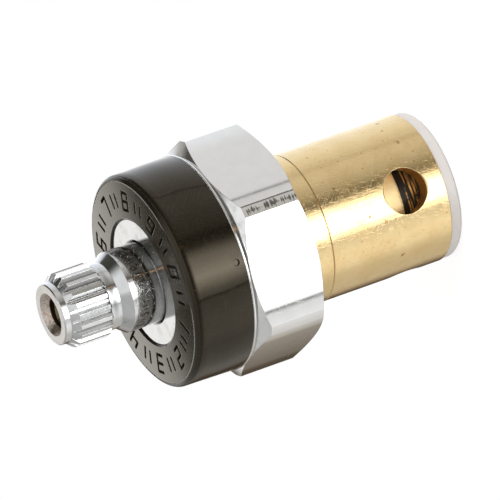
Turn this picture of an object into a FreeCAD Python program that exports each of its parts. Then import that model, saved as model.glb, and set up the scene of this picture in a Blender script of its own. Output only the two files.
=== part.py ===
import FreeCAD, Part
import math
import os

# A quarter-turn ceramic-disc faucet stem, upright, in millimetres.
# The axis is Z. The flat under the base seal is Z = 0, and the spindle points up.

os.makedirs("parts", exist_ok=True)

# Clearances
running_gap = 0.05        # radial, a shaft that turns in its bore
free_gap = 0.10           # radial, a turning piece that only passes through a hole
seat_gap = 0.02           # radial, pieces that are pressed, screwed or dropped home
face_gap = 0.05           # axial, between faces that slide on each other
stop_gap = 0.15           # along the rim, between the stop pin and its notch at either limit

# Outside of the cartridge, from the seal upwards
barrel_d = 19.05
barrel_wall = 2.4
barrel_bore_d = barrel_d - 2 * barrel_wall
barrel_length = 16.7
seal_lip_height = 1.6
seal_lip_inset = 0.125    # inside the barrel's outline
seal_lip_d = barrel_d - 2 * seal_lip_inset
seal_edge_radius = 0.5
seam_chamfer = 0.08
neck_length = 3.7         # bare brass between the seam and the nut

# Turned steps from the barrel's outside in to the spindle's journal
spigot_cover = 0.825      # barrel's wall over the housing's spigot
spigot_d = barrel_d - 2 * spigot_cover
spigot_wall = 1.6
chamber_bore_d = spigot_d - 2 * spigot_wall
flange_step = 1.95        # radial, chamber's bore to the journal
journal_d = chamber_bore_d - 2 * flange_step
bearing_wall = 1.35       # housing's neck round the journal
housing_neck_d = journal_d + 2 * bearing_wall

# Outlet ports round the barrel: front, back and one on either side
port_d = 5.8
port_height = 6.9
port_edge_chamfer = 0.15
front_port_angle = -90.0
side_port_turn = 98.0     # from the front port to either side port
port_angles = [front_port_angle, front_port_angle + 180]
port_angles += [front_port_angle + side_port_turn, front_port_angle - side_port_turn]

# Bonnet nut
hex_across_flats = 27.0
hex_corner_cut = 0.39     # radial, corners turned down to narrow lands
hex_corner_d = hex_across_flats / math.cos(math.pi / 6) - 2 * hex_corner_cut
hex_height = 9.6
hex_front_inset = 0.43    # end face inside the flats
hex_rear_inset = 0.17
hex_front_face_d = hex_across_flats - 2 * hex_front_inset
hex_rear_face_d = hex_across_flats - 2 * hex_rear_inset
hex_chamfer_angle = 30.0  # from the end face
hex_clocking = -14.9      # angle of one corner about Z
lip_d = 27.6
lip_thickness = 0.35
lip_edge_radius = 0.14
boss_side_wall = 1.5
boss_bore_d = housing_neck_d + 2 * free_gap
boss_d = boss_bore_d + 2 * boss_side_wall
boss_wall = 1.4           # end wall round the spindle
boss_edge_chamfer = 0.12
nut_thread_space = 0.965  # radial, between the barrel and the thread's crests
nut_thread_minor_d = barrel_d + 2 * nut_thread_space
nut_thread_depth = 0.60
nut_thread_pitch = 1.27
nut_thread_turns = 3
nut_thread_flank = 0.5    # axial length of one flank of a turn
nut_thread_lead = 0.8     # plain stretch below the first turn
nut_shoulder_height = 8.1 # nut's rear face to the shoulder inside

# Index ring
ring_height = 7.9
ring_proud = 0.25         # ring's face above the boss's face
ring_lip_step = 0.05      # lip of the nut beyond the ring
ring_rear_d = lip_d - 2 * ring_lip_step
ring_draft = 1.3          # degrees, smaller towards the front
ring_edge_radius = 0.8
ring_inner_chamfer = 0.12
ring_front_wall = 2.2
ring_outer_wall = 1.9
ring_hub_wall = 1.7
ring_rib_count = 6
ring_rib_width = 1.2
gate_d = 0.8
gate_depth = 0.18
gate_height = 0.95        # above the ring's rear face
gate_angle = -96.0

# Scale engraved in the ring's face
mark_depth = 0.30
mark_stroke = 0.42
numeral_count = 10
numeral_height = 2.3
numeral_width = 1.35
numeral_slant = 0.22
numeral_inset = 2.45      # boss's rim to the numerals' middle
numeral_radius = boss_d / 2 + numeral_inset
tick_count_between = 2
tick_length = 1.5
tick_spacing = 7.2        # degrees
scale_clocking = -90.0

# Spindle
journal_reach = 4.1       # boss face to the shoulder's corner
shoulder_cone_height = 1.2
spline_step = 0.43        # radial, tooth tips below the journal
spline_d = journal_d - 2 * spline_step
spline_depth = 0.72
spline_root_d = spline_d - 2 * spline_depth
spline_teeth = 20
spline_tip_share = 0.34   # of the pitch angle
spline_root_share = 0.24
spline_length = 5.4
spline_front_chamfer = 0.9
spline_rear_chamfer = 0.25
collar_step = 0.2         # radial, collar above the tooth roots
collar_d = spline_root_d + 2 * collar_step
collar_length = 1.4
nose_step = 0.1           # radial, nose below the tooth roots
nose_d = spline_root_d - 2 * nose_step
nose_length = 0.87
nose_chamfer = 0.12
screw_hole_d = 3.9
screw_hole_depth = 11.0
screw_countersink_d = 5.5
screw_countersink_depth = 0.85
screw_drill_point_angle = 59.0

# Housing
flange_gap = 0.09         # radial, flange inside the thread's crests
housing_flange_d = nut_thread_minor_d - 2 * flange_gap
housing_flange_height = 2.4
housing_neck_length = 7.6
spigot_length = 3.9
stop_hole_depth = 1.9
gasket_relief_depth = 0.25    # radial, groove under the flange that the gasket sits in

# Spindle inside the housing
spindle_flange_d = chamber_bore_d - 2 * free_gap
spindle_flange_height = 2.9
shank_step = 0.65         # radial, shank below the journal
shank_d = journal_d - 2 * shank_step
tang_thickness = 3.2
tang_inset = 0.3          # tang's edges inside the shank
tang_width = shank_d - 2 * tang_inset
tang_length = 2.9
thrust_washer_height = 0.8
thrust_washer_d = chamber_bore_d - 4 * free_gap
stop_pin_d = 1.4
stop_pin_radius = (spindle_flange_d - stop_pin_d) / 2 - free_gap
stop_pin_angle = 40.0
stop_pin_reach = 3.0      # below the housing's shoulder
spindle_travel = 90.0

# Rings on the spindle
o_ring_section = 1.1
o_ring_groove_width = 1.4
o_ring_first = 2.4        # below the top of the housing's neck, to the groove's middle
o_ring_spacing = 2.9
clip_groove_depth = 0.65
clip_groove_d = journal_d - 2 * clip_groove_depth
clip_washer_d = housing_neck_d - 4 * free_gap
clip_washer_thickness = 0.3
clip_d = clip_washer_d - 4 * free_gap
clip_thickness = 0.5
clip_opening = 5.0

# Slip washer, bonnet gasket and housing seal
slip_washer_thickness = 0.45
slip_washer_d = housing_flange_d - 4 * free_gap
bonnet_gasket_thickness = 0.8
housing_ring_section = 0.74
housing_groove_width = 1.1
housing_groove_height = 1.9   # above the spigot's end

# Discs and their carrier
seal_spigot_height = 0.7
seal_wall = 1.225
seal_bore_d = barrel_bore_d - 2 * seal_wall
fixed_disc_gap = 0.125    # radial, in the barrel's bore
fixed_disc_d = barrel_bore_d - 2 * fixed_disc_gap
fixed_disc_thickness = 2.4
key_width = 2.4
key_reach = 1.1           # past the disc's rim
key_angle = 45.0          # about Z, clear of the ports
moving_disc_gap = 0.325
moving_disc_d = barrel_bore_d - 2 * moving_disc_gap
moving_disc_thickness = 1.9
disc_hub_d = 5.2
disc_window_angle = 80.0
disc_rim_wall = 1.2
disc_window_d = fixed_disc_d - 2 * disc_rim_wall
carrier_gap = 0.225
carrier_d = barrel_bore_d - 2 * carrier_gap
carrier_height = 6.0
drive_bar_width = 1.9
drive_bar_height = 0.8
drive_bar_inset = 1.0     # bar's ends inside the disc's rim
drive_bar_length = moving_disc_d - 2 * drive_bar_inset
drive_pin_d = 1.6
drive_pin_height = 4.6    # above the carrier's foot
support_ring_wall = 0.4
support_ring_height = 1.7
cut_margin = 1.0          # how far a cutter runs past the face it opens

# Heights worked out from the sizes above
z_barrel_end = seal_lip_height
z_port = port_height
z_seam = z_barrel_end + barrel_length
z_nut_rear = z_seam + neck_length
z_hex_front = z_nut_rear + hex_height
z_lip_front = z_hex_front + lip_thickness
z_ring_front = z_lip_front + ring_height
z_boss_face = z_ring_front - ring_proud
z_boss_ceiling = z_boss_face - boss_wall
z_nut_shoulder = z_nut_rear + nut_shoulder_height
z_flange_top = z_nut_shoulder - slip_washer_thickness - 2 * face_gap
z_flange_foot = z_flange_top - housing_flange_height
z_gasket_foot = z_flange_foot - bonnet_gasket_thickness
z_neck_top = z_flange_top + housing_neck_length
z_spigot_end = z_seam - spigot_length
z_shoulder = z_boss_face + journal_reach
z_collar = z_shoulder + shoulder_cone_height
z_spline = z_collar + collar_length
z_nose = z_spline + spline_length
z_tip = z_nose + nose_length
z_fixed_disc = z_barrel_end + seal_spigot_height
z_moving_disc = z_fixed_disc + fixed_disc_thickness
z_carrier = z_moving_disc + moving_disc_thickness
z_carrier_top = z_carrier + carrier_height
z_chamber_top = z_flange_foot + running_gap
z_thrust_washer = z_chamber_top - thrust_washer_height
z_spindle_flange_top = z_thrust_washer - face_gap
z_spindle_flange_foot = z_spindle_flange_top - spindle_flange_height
z_clip = z_neck_top + clip_washer_thickness + 2 * face_gap

# Radii that several pieces share
barrel_r = barrel_d / 2
bearing_r = journal_d / 2 + running_gap
hex_slope = math.tan(math.radians(hex_chamfer_angle))


def at(radius, degrees, height=0.0):
    """Gives the point at a radius, an angle about Z and a height."""
    turn = math.radians(degrees)
    return FreeCAD.Vector(radius * math.cos(turn), radius * math.sin(turn), height)


def disc(diameter, low, high):
    """Makes a solid cylinder on the axis between two heights."""
    return Part.makeCylinder(diameter / 2, high - low, FreeCAD.Vector(0, 0, low))


def tube(outer_d, inner_d, low, high):
    """Makes a hollow cylinder on the axis between two heights."""
    return disc(outer_d, low, high).cut(disc(inner_d, low - cut_margin, high + cut_margin))


def turned(outline):
    """Turns a closed outline of (radius, height) points about the axis."""
    points = [FreeCAD.Vector(radius, 0, height) for radius, height in outline]
    face = Part.Face(Part.makePolygon(points + points[:1]))
    return face.revolve(FreeCAD.Vector(0, 0, 0), FreeCAD.Vector(0, 0, 1), 360)


def rounded(shape, size, radius, height):
    """Rounds the circular edge that lies at a radius and a height."""
    edges = []
    for edge in shape.Edges:
        curve = edge.Curve
        if isinstance(curve, Part.Circle) and abs(curve.Radius - radius) + abs(curve.Center.z - height) < 0.001:
            edges.append(edge)
    return shape.makeFillet(size, edges)


def torus(section, middle_d, height):
    """Makes a rubber ring of round section about the axis."""
    return Part.makeTorus(middle_d / 2, section / 2, FreeCAD.Vector(0, 0, height))


def bar(length, width, low, high, degrees=0.0):
    """Makes a bar centred on the axis, lying along an angle."""
    block = Part.makeBox(length, width, high - low, FreeCAD.Vector(-length / 2, -width / 2, low))
    block.rotate(FreeCAD.Vector(0, 0, 0), FreeCAD.Vector(0, 0, 1), degrees)
    return block


def wedge(radius, start, sweep, low, high):
    """Makes a slice of a cylinder from one angle over a sweep."""
    piece = Part.makeCylinder(radius, high - low, FreeCAD.Vector(0, 0, low), FreeCAD.Vector(0, 0, 1), sweep)
    piece.rotate(FreeCAD.Vector(0, 0, 0), FreeCAD.Vector(0, 0, 1), start)
    return piece


def save(shape, node):
    """Writes one piece to its file."""
    clean = shape.removeSplitter()
    solids = clean.Solids
    result = solids[0] if len(solids) == 1 else Part.makeCompound(solids)
    result.exportStep("parts/" + node + ".step")
    print(node, len(solids), "solid", round(result.Volume, 2), "mm3", result.isValid())


# Base seal, its support ring and the barrel


def make_base_seal():
    """The soft foot: a lip under the barrel and a spigot inside it."""
    lip_r = seal_lip_d / 2
    spigot_r = barrel_bore_d / 2 - seat_gap
    outline = [
        (seal_bore_d / 2, 0), (lip_r, 0), (lip_r, seal_lip_height), (spigot_r, seal_lip_height),
        (spigot_r, z_fixed_disc), (seal_bore_d / 2, z_fixed_disc)]
    return rounded(turned(outline), seal_edge_radius, lip_r, 0)


def make_support_ring():
    """A thin metal ring that keeps the seal's bore open."""
    outer_d = seal_bore_d - 2 * seat_gap
    return tube(outer_d, outer_d - 2 * support_ring_wall, z_fixed_disc - support_ring_height, z_fixed_disc)


def key_pair(extra, low, high):
    """The two keys of the fixed disc, with a side clearance."""
    reach = fixed_disc_d + 2 * key_reach + 2 * extra
    return bar(reach, key_width + 2 * extra, low, high, key_angle)


def port_cutters():
    """Round cutters for the ports, from the axis outwards."""
    cutters = []
    for angle in port_angles:
        cutters.append(Part.makeCylinder(port_d / 2, barrel_d, FreeCAD.Vector(0, 0, z_port), at(1, angle)))
    return Part.makeCompound(cutters)


def make_barrel():
    """The brass barrel: bore, counterbore for the housing, ports and key slots."""
    counterbore_d = spigot_d + 2 * seat_gap
    bore_r = barrel_bore_d / 2
    outline = [
        (bore_r, z_barrel_end), (barrel_r - seam_chamfer, z_barrel_end),
        (barrel_r, z_barrel_end + seam_chamfer), (barrel_r, z_seam - seam_chamfer),
        (barrel_r - seam_chamfer, z_seam), (counterbore_d / 2, z_seam),
        (counterbore_d / 2, z_spigot_end - face_gap), (bore_r, z_spigot_end - face_gap)]
    barrel = turned(outline)
    barrel = barrel.cut(port_cutters())
    rim = barrel_r - port_edge_chamfer
    for angle in port_angles:
        depth = rim - math.sqrt(rim ** 2 - (port_d / 2) ** 2)
        cone = Part.makeCone(port_d / 2 - depth, port_d / 2 + 2 * port_edge_chamfer,
                             depth + 2 * port_edge_chamfer, at(rim - depth, angle, z_port), at(1, angle))
        barrel = barrel.cut(cone)
    return barrel.cut(key_pair(running_gap, z_barrel_end - cut_margin, z_moving_disc))


# Discs and carrier


def make_fixed_disc():
    """The ceramic disc that stays: two windows either side of a web, and two keys."""
    plate = disc(fixed_disc_d, z_fixed_disc, z_moving_disc)
    plate = plate.fuse(key_pair(0, z_fixed_disc, z_moving_disc))
    for middle in (-90, 90):
        window = wedge(disc_window_d / 2, middle - disc_window_angle / 2, disc_window_angle,
                       z_fixed_disc - cut_margin, z_moving_disc + cut_margin)
        plate = plate.cut(window.cut(disc(disc_hub_d, z_fixed_disc - cut_margin, z_moving_disc + cut_margin)))
    return plate


def make_moving_disc():
    """The ceramic disc that turns: two wings that cover the windows when shut."""
    low = z_moving_disc + face_gap
    high = z_carrier - face_gap
    plate = disc(moving_disc_d, low, high)
    for middle in (0, 180):
        gap = wedge(moving_disc_d, middle - disc_window_angle / 2, disc_window_angle,
                    low - cut_margin, high + cut_margin)
        plate = plate.cut(gap.cut(disc(disc_hub_d, low - cut_margin, high + cut_margin)))
    slot = bar(drive_bar_length + 2 * running_gap, drive_bar_width + 2 * running_gap,
               z_carrier - drive_bar_height - running_gap, high + cut_margin, 90)
    return plate.cut(slot)


def cross_cylinder(diameter, length):
    """A cylinder along X at the height of the drive pin."""
    start = FreeCAD.Vector(-length / 2, 0, z_carrier + drive_pin_height)
    return Part.makeCylinder(diameter / 2, length, start, FreeCAD.Vector(1, 0, 0))


def make_carrier():
    """The brass piece between the spindle's tang and the moving disc."""
    body = disc(carrier_d, z_carrier, z_carrier_top)
    body = body.fuse(bar(drive_bar_length, drive_bar_width, z_carrier - drive_bar_height, z_carrier + cut_margin, 90))
    slot = bar(carrier_d + cut_margin, tang_thickness + 2 * running_gap,
               z_carrier_top - tang_length - running_gap, z_carrier_top + cut_margin, 90)
    return body.cut(slot).cut(cross_cylinder(drive_pin_d + 2 * seat_gap, carrier_d + cut_margin))


def make_drive_pin():
    """The cross pin that ties the carrier to the spindle."""
    return cross_cylinder(drive_pin_d, carrier_d - 4 * running_gap)


# Housing and what it holds


def make_housing():
    """The brass housing: spigot, neck behind the nut, flange and bearing."""
    groove_root_r = spigot_d / 2 - housing_ring_section
    groove_low = z_spigot_end + housing_groove_height - housing_groove_width / 2
    relief_r = barrel_r - gasket_relief_depth
    outline = [
        (chamber_bore_d / 2, z_spigot_end), (spigot_d / 2, z_spigot_end),
        (spigot_d / 2, groove_low), (groove_root_r, groove_low),
        (groove_root_r, groove_low + housing_groove_width), (spigot_d / 2, groove_low + housing_groove_width),
        (spigot_d / 2, z_seam), (barrel_r - seam_chamfer, z_seam),
        (barrel_r, z_seam + seam_chamfer), (barrel_r, z_gasket_foot - free_gap),
        (relief_r, z_gasket_foot - free_gap), (relief_r, z_flange_foot),
        (housing_flange_d / 2, z_flange_foot), (housing_flange_d / 2, z_flange_top),
        (housing_neck_d / 2, z_flange_top), (housing_neck_d / 2, z_neck_top),
        (bearing_r, z_neck_top), (bearing_r, z_chamber_top), (chamber_bore_d / 2, z_chamber_top)]
    hole_top = z_chamber_top + stop_hole_depth
    hole = Part.makeCylinder(stop_pin_d / 2 + seat_gap, hole_top - z_chamber_top + cut_margin,
                             at(stop_pin_radius, stop_pin_angle, z_chamber_top - cut_margin))
    return turned(outline).cut(hole)


def make_housing_ring():
    """The rubber ring between the housing's spigot and the barrel."""
    return torus(housing_ring_section, spigot_d - housing_ring_section,
                 z_spigot_end + housing_groove_height)


def make_stop_pin():
    """The dowel under the housing's shoulder that the spindle stops on."""
    low = z_chamber_top - stop_pin_reach
    high = z_chamber_top + stop_hole_depth - seat_gap
    return Part.makeCylinder(stop_pin_d / 2, high - low, at(stop_pin_radius, stop_pin_angle, low))


def make_thrust_washer():
    """The washer between the spindle's flange and the housing, held by the pin."""
    washer = tube(thrust_washer_d, journal_d + 4 * free_gap, z_thrust_washer, z_chamber_top)
    hole = Part.makeCylinder(stop_pin_d / 2 + running_gap, thrust_washer_height + 2 * cut_margin,
                             at(stop_pin_radius, stop_pin_angle, z_thrust_washer - cut_margin))
    return washer.cut(hole)


def make_slip_washer():
    """The washer that lets the nut turn on the housing's flange."""
    low = z_flange_top
    return tube(slip_washer_d, housing_neck_d + 2 * free_gap, low, low + slip_washer_thickness)


def make_bonnet_gasket():
    """The soft washer in the groove under the housing's flange."""
    inner_d = barrel_d - 2 * gasket_relief_depth + 2 * seat_gap
    return tube(housing_flange_d, inner_d, z_gasket_foot, z_flange_foot)


# Spindle and the rings on it


def spline_prism(low, high):
    """Makes the toothed bar, before its ends are turned."""
    pitch = 360 / spline_teeth
    points = []
    for tooth in range(spline_teeth):
        middle = tooth * pitch
        valley = middle + pitch / 2
        points.append(at(spline_d / 2, middle - pitch * spline_tip_share / 2, low))
        points.append(at(spline_d / 2, middle + pitch * spline_tip_share / 2, low))
        points.append(at(spline_root_d / 2, valley - pitch * spline_root_share / 2, low))
        points.append(at(spline_root_d / 2, valley + pitch * spline_root_share / 2, low))
    face = Part.Face(Part.makePolygon(points + points[:1]))
    return face.extrude(FreeCAD.Vector(0, 0, high - low))


def make_spline():
    """The toothed end, with its front and rear edges turned to a cone."""
    envelope = turned([
        (0, z_spline), (spline_d / 2 - spline_rear_chamfer, z_spline),
        (spline_d / 2, z_spline + spline_rear_chamfer),
        (spline_d / 2, z_nose - spline_front_chamfer), (nose_d / 2, z_nose), (0, z_nose)])
    return spline_prism(z_spline, z_nose).common(envelope)


def spindle_grooves():
    """The two rubber-ring grooves and the clip groove."""
    root_d = journal_d - 2 * o_ring_section
    grooves = []
    for i in range(2):
        middle = z_neck_top - o_ring_first - i * o_ring_spacing
        low = middle - o_ring_groove_width / 2
        grooves.append(tube(journal_d + cut_margin, root_d, low, low + o_ring_groove_width))
    grooves.append(tube(journal_d + cut_margin, clip_groove_d, z_clip - face_gap,
                        z_clip + clip_thickness + face_gap))
    return Part.makeCompound(grooves)


def stop_notch():
    """The notch in the flange's rim that the stop pin runs in."""
    half_pin = math.degrees(math.asin((stop_pin_d / 2 + stop_gap) / stop_pin_radius))
    low = z_spindle_flange_foot - cut_margin
    high = z_spindle_flange_top + cut_margin
    start = stop_pin_angle - spindle_travel - half_pin
    whole = wedge(spindle_flange_d, start, spindle_travel + 2 * half_pin, low, high)
    root_d = 2 * (stop_pin_radius - stop_pin_d / 2 - stop_gap)
    return whole.cut(disc(root_d, low, high))


def make_spindle():
    """The turned stem: screw hole, spline, journal, flange, shank and tang."""
    shank_foot = z_carrier_top + face_gap
    outline = [
        (0, shank_foot), (shank_d / 2, shank_foot), (shank_d / 2, z_spindle_flange_foot),
        (spindle_flange_d / 2, z_spindle_flange_foot), (spindle_flange_d / 2, z_spindle_flange_top),
        (journal_d / 2, z_spindle_flange_top), (journal_d / 2, z_shoulder),
        (collar_d / 2, z_collar), (collar_d / 2, z_spline), (spline_root_d / 2, z_spline),
        (spline_root_d / 2, z_nose - cut_margin), (nose_d / 2, z_nose - cut_margin),
        (nose_d / 2, z_tip - nose_chamfer), (nose_d / 2 - nose_chamfer, z_tip), (0, z_tip)]
    stem = turned(outline).fuse(make_spline())
    tang = bar(tang_width, tang_thickness, z_carrier_top - tang_length, shank_foot + cut_margin, 90)
    stem = stem.fuse(tang).cut(spindle_grooves()).cut(stop_notch())
    stem = stem.cut(cross_cylinder(drive_pin_d + 2 * seat_gap, tang_width))
    hole_r = screw_hole_d / 2
    hole_foot = z_tip - screw_hole_depth
    point = hole_r / math.tan(math.radians(screw_drill_point_angle))
    hole = turned([
        (0, hole_foot - point), (hole_r, hole_foot), (hole_r, z_tip - screw_countersink_depth),
        (screw_countersink_d / 2, z_tip), (screw_countersink_d / 2, z_tip + cut_margin),
        (0, z_tip + cut_margin)])
    return stem.cut(hole)


def make_spindle_ring(index):
    """One rubber ring in its groove on the journal."""
    return torus(o_ring_section, journal_d - o_ring_section, z_neck_top - o_ring_first - index * o_ring_spacing)


def make_clip():
    """The open spring clip that keeps the spindle in the housing."""
    clip = tube(clip_d, clip_groove_d + 2 * seat_gap, z_clip, z_clip + clip_thickness)
    mouth = Part.makeBox(clip_d, clip_opening, clip_thickness + 2 * cut_margin,
                         FreeCAD.Vector(0, -clip_opening / 2, z_clip - cut_margin))
    return clip.cut(mouth)


def make_clip_washer():
    """The flat washer between the clip and the housing's neck."""
    return tube(clip_washer_d, journal_d + 2 * free_gap, z_neck_top, z_neck_top + clip_washer_thickness)


# Nut and index ring


def nut_thread_cutter():
    """The bore of the nut with its thread, drawn as rings."""
    minor_r = nut_thread_minor_d / 2
    start = z_nut_rear + nut_thread_lead
    outline = [(0, z_nut_rear - cut_margin), (minor_r + nut_thread_depth, z_nut_rear - cut_margin),
               (minor_r + nut_thread_depth, z_nut_rear), (minor_r, z_nut_rear + nut_thread_depth)]
    for turn in range(nut_thread_turns):
        foot = start + turn * nut_thread_pitch
        outline += [(minor_r, foot), (minor_r + nut_thread_depth, foot + nut_thread_flank),
                    (minor_r, foot + 2 * nut_thread_flank)]
    outline += [(minor_r, z_nut_shoulder), (0, z_nut_shoulder)]
    return turned(outline)


def hexagon_prism(low, high):
    """The hexagonal bar the nut is turned from."""
    corner_r = hex_across_flats / 2 / math.cos(math.pi / 6)
    corners = [at(corner_r, hex_clocking + 60 * i, low) for i in range(6)]
    face = Part.Face(Part.makePolygon(corners + corners[:1]))
    return face.extrude(FreeCAD.Vector(0, 0, high - low))


def make_nut():
    """The chromed nut: hexagon, seat lip and the boss that carries the ring."""
    corner_r = hex_corner_d / 2
    rear_cone = (corner_r - hex_rear_face_d / 2) * hex_slope
    front_cone = (corner_r - hex_front_face_d / 2) * hex_slope
    envelope = turned([
        (0, z_nut_rear), (hex_rear_face_d / 2, z_nut_rear), (corner_r, z_nut_rear + rear_cone),
        (corner_r, z_hex_front - front_cone), (hex_front_face_d / 2, z_hex_front), (0, z_hex_front)])
    hexagon = hexagon_prism(z_nut_rear, z_hex_front).common(envelope)
    lip_r = lip_d / 2
    boss_r = boss_d / 2
    front = turned([
        (0, z_hex_front - cut_margin), (boss_r, z_hex_front - cut_margin), (boss_r, z_hex_front),
        (lip_r, z_hex_front), (lip_r, z_lip_front), (boss_r, z_lip_front),
        (boss_r, z_boss_face - boss_edge_chamfer), (boss_r - boss_edge_chamfer, z_boss_face), (0, z_boss_face)])
    front = rounded(front, lip_edge_radius, lip_r, z_hex_front)
    front = rounded(front, lip_edge_radius, lip_r, z_lip_front)
    bore_d = journal_d + 2 * free_gap
    mouth_d = bore_d + 2 * boss_edge_chamfer + 2 * free_gap
    mouth_foot = z_boss_face - free_gap - boss_edge_chamfer
    mouth = turned([(0, mouth_foot), (bore_d / 2, mouth_foot), (mouth_d / 2, z_boss_face),
                    (mouth_d / 2, z_boss_face + cut_margin), (0, z_boss_face + cut_margin)])
    nut = hexagon.fuse(front).cut(nut_thread_cutter())
    nut = nut.cut(disc(boss_bore_d, z_nut_shoulder - cut_margin, z_boss_ceiling))
    return nut.cut(disc(bore_d, z_boss_ceiling - cut_margin, z_boss_face + cut_margin)).cut(mouth)


def stroke(start, end):
    """One engraved stroke with round ends, between two points of a numeral."""
    low = z_ring_front - mark_depth
    height = mark_depth + cut_margin
    run = FreeCAD.Vector(end[0] - start[0], end[1] - start[1], 0)
    turn = math.degrees(math.atan2(run.y, run.x))
    middle = Part.makeBox(run.Length, mark_stroke, height, FreeCAD.Vector(0, -mark_stroke / 2, 0))
    middle.rotate(FreeCAD.Vector(0, 0, 0), FreeCAD.Vector(0, 0, 1), turn)
    middle.translate(FreeCAD.Vector(start[0], start[1], low))
    ends = [Part.makeCylinder(mark_stroke / 2, height, FreeCAD.Vector(x, y, low)) for x, y in (start, end)]
    return [middle] + ends


def numeral(value):
    """The strokes of a plain slanted numeral about its own centre, top along +Y."""
    half_w = numeral_width / 2
    half_h = numeral_height / 2
    corners = {
        "top_left": (-half_w, half_h), "top_right": (half_w, half_h), "left": (-half_w, 0),
        "right": (half_w, 0), "low_left": (-half_w, -half_h), "low_right": (half_w, -half_h)}
    lines = {
        "top": ("top_left", "top_right"), "upper_left": ("top_left", "left"),
        "upper_right": ("top_right", "right"), "middle": ("left", "right"),
        "lower_left": ("left", "low_left"), "lower_right": ("right", "low_right"),
        "bottom": ("low_left", "low_right")}
    missing = {
        0: ["middle"], 1: ["top", "upper_left", "middle", "lower_left", "bottom"],
        2: ["upper_left", "lower_right"], 3: ["upper_left", "lower_left"],
        4: ["top", "lower_left", "bottom"], 5: ["upper_right", "lower_left"],
        6: ["upper_right"], 7: ["upper_left", "middle", "lower_left", "bottom"], 8: [], 9: ["lower_left"]}
    shapes = []
    for name, (first, last) in lines.items():
        if name in missing[value]:
            continue
        ends = [(x + numeral_slant * y, y) for x, y in (corners[first], corners[last])]
        shapes += stroke(*ends)
    return shapes


def scale_cutters():
    """The numerals and ticks of the scale, ready to cut from the ring's face."""
    step = 360 / numeral_count
    cutters = []
    for value in range(numeral_count):
        angle = scale_clocking - value * step
        for shape in numeral(value):
            shape.rotate(FreeCAD.Vector(0, 0, 0), FreeCAD.Vector(0, 0, 1), -90)
            shape.translate(FreeCAD.Vector(numeral_radius, 0, 0))
            shape.rotate(FreeCAD.Vector(0, 0, 0), FreeCAD.Vector(0, 0, 1), angle)
            cutters.append(shape)
        for tick in range(tick_count_between):
            tick_angle = angle - step / 2 - (tick - (tick_count_between - 1) / 2) * tick_spacing
            inner = at(numeral_radius - tick_length / 2, tick_angle)
            outer = at(numeral_radius + tick_length / 2, tick_angle)
            cutters += stroke((inner.x, inner.y), (outer.x, outer.y))
    return cutters[0].multiFuse(cutters[1:])


def make_ring():
    """The moulded ring on the nut's boss, cored out behind, with an engraved scale."""
    bore_r = boss_d / 2 + seat_gap
    rear_r = ring_rear_d / 2
    slope = math.tan(math.radians(ring_draft))
    front_r = rear_r - ring_height * slope
    ring = turned([
        (bore_r, z_lip_front), (rear_r, z_lip_front), (front_r, z_ring_front),
        (bore_r + ring_inner_chamfer, z_ring_front), (bore_r, z_ring_front - ring_inner_chamfer)])
    ring = rounded(ring, ring_edge_radius, front_r, z_ring_front)
    core = tube(2 * (front_r - ring_outer_wall), 2 * (bore_r + ring_hub_wall),
                z_lip_front - cut_margin, z_ring_front - ring_front_wall)
    for i in range(ring_rib_count // 2):
        core = core.cut(bar(ring_rear_d, ring_rib_width, z_lip_front - 2 * cut_margin, z_ring_front,
                            i * 360 / ring_rib_count))
    gate_r = rear_r - gate_height * slope
    gate = Part.makeCylinder(gate_d / 2, 2 * gate_depth,
                             at(gate_r - gate_depth, gate_angle, z_lip_front + gate_height), at(1, gate_angle))
    return ring.cut(core).cut(gate).cut(scale_cutters())


save(make_base_seal(), "base_seal")
save(make_support_ring(), "seal_support_ring")
save(make_barrel(), "barrel")
save(make_fixed_disc(), "fixed_disc")
save(make_moving_disc(), "moving_disc")
save(make_carrier(), "disc_carrier")
save(make_drive_pin(), "drive_pin")
save(make_housing(), "housing")
save(make_housing_ring(), "housing_o_ring")
save(make_stop_pin(), "stop_pin")
save(make_thrust_washer(), "thrust_washer")
save(make_slip_washer(), "slip_washer")
save(make_bonnet_gasket(), "bonnet_gasket")
save(make_spindle(), "spindle")
save(make_spindle_ring(0), "spindle_o_ring_upper")
save(make_spindle_ring(1), "spindle_o_ring_lower")
save(make_clip(), "retaining_clip")
save(make_clip_washer(), "clip_washer")
save(make_nut(), "bonnet_nut")
save(make_ring(), "index_ring")
print("length", round(z_tip, 2))
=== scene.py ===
"""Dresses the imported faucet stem: finishes, the thread in its screw hole, studio and camera."""

import logging
import math
from dataclasses import dataclass
from enum import Enum
from typing import Dict, List, Optional, Sequence, Tuple, Union

import bpy
from mathutils import Matrix, Vector


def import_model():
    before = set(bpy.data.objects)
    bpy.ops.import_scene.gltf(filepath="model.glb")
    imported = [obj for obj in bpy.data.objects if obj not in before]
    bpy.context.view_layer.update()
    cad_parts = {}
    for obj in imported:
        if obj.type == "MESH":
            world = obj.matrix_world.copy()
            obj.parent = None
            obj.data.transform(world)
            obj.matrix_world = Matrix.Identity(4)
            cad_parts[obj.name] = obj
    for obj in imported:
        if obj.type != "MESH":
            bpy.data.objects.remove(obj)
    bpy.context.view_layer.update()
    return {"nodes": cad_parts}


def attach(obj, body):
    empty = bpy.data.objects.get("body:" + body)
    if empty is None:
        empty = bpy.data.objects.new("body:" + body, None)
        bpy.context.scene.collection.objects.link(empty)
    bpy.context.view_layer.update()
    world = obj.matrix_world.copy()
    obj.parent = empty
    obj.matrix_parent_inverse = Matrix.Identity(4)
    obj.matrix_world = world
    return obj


MM = 0.001
PHOTO_PIXELS = 500
LOG = logging.getLogger("faucet_stem")

Colour = Tuple[float, float, float]
Place = Tuple[float, float, float]
Socket = bpy.types.NodeSocket
Feed = Union[Socket, float, int, Sequence[float]]


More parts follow.
